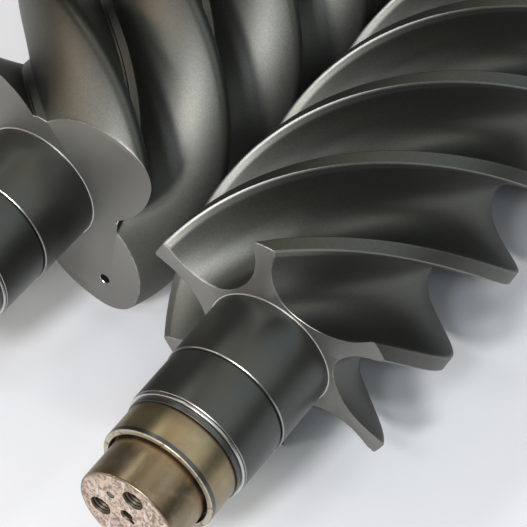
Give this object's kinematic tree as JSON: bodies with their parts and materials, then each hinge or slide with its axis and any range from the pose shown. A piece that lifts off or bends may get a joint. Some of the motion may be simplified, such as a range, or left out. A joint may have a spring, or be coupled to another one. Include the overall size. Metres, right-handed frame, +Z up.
{
  "type": "pair of screw compressor rotors",
  "caption": "A male and a female helical screw compressor rotor with their shafts, sleeves and bearing inner rings, lying side by side.",
  "frame": {"origin": "on the floor, under the middle of the pair's bounding box", "axes": "+Z up, both rotor axes along Y with the pictured shaft ends towards -Y, the female rotor on the +X side"},
  "size_m": [0.353, 0.5696, 0.1925],
  "materials": {
    "coated_rotor_steel": "satin dark grey coating with a fine grain, bare bright wear along the edges, brown stained end journals",
    "sleeve_coating": "smooth dark greenish grey, satin, with a bright chamfered rim",
    "bright_steel": "turned bright steel",
    "dark_steel": "dark oiled steel",
    "tinted_race_steel": "ground race steel, straw tinted where the rollers ran, grey at both edges",
    "dull_pin_steel": "dull grey"
  },
  "bodies": {
    "root": {"female_rotor": "coated_rotor_steel", "male_rotor": "coated_rotor_steel", "female_front_inner_sleeve": "sleeve_coating", "female_front_outer_sleeve": "sleeve_coating", "female_front_lock_ring": "bright_steel", "female_front_spacer_ring": "dark_steel", "female_front_bearing_ring": "tinted_race_steel", "female_front_end_pin": "dull_pin_steel", "female_rear_inner_sleeve": "sleeve_coating", "female_rear_outer_sleeve": "sleeve_coating", "female_rear_lock_ring": "bright_steel", "female_rear_spacer_ring": "dark_steel", "female_rear_bearing_ring": "tinted_race_steel", "female_rear_end_pin": "dull_pin_steel", "male_front_inner_sleeve": "sleeve_coating", "male_front_outer_sleeve": "sleeve_coating", "male_front_lock_ring": "bright_steel", "male_front_spacer_ring": "dark_steel", "male_front_bearing_ring": "tinted_race_steel", "male_front_end_pin": "dull_pin_steel", "male_rear_inner_sleeve": "sleeve_coating", "male_rear_outer_sleeve": "sleeve_coating", "male_rear_lock_ring": "bright_steel", "male_rear_spacer_ring": "dark_steel", "male_rear_bearing_ring": "tinted_race_steel", "male_rear_end_pin": "dull_pin_steel"}
  },
  "joints": []
}
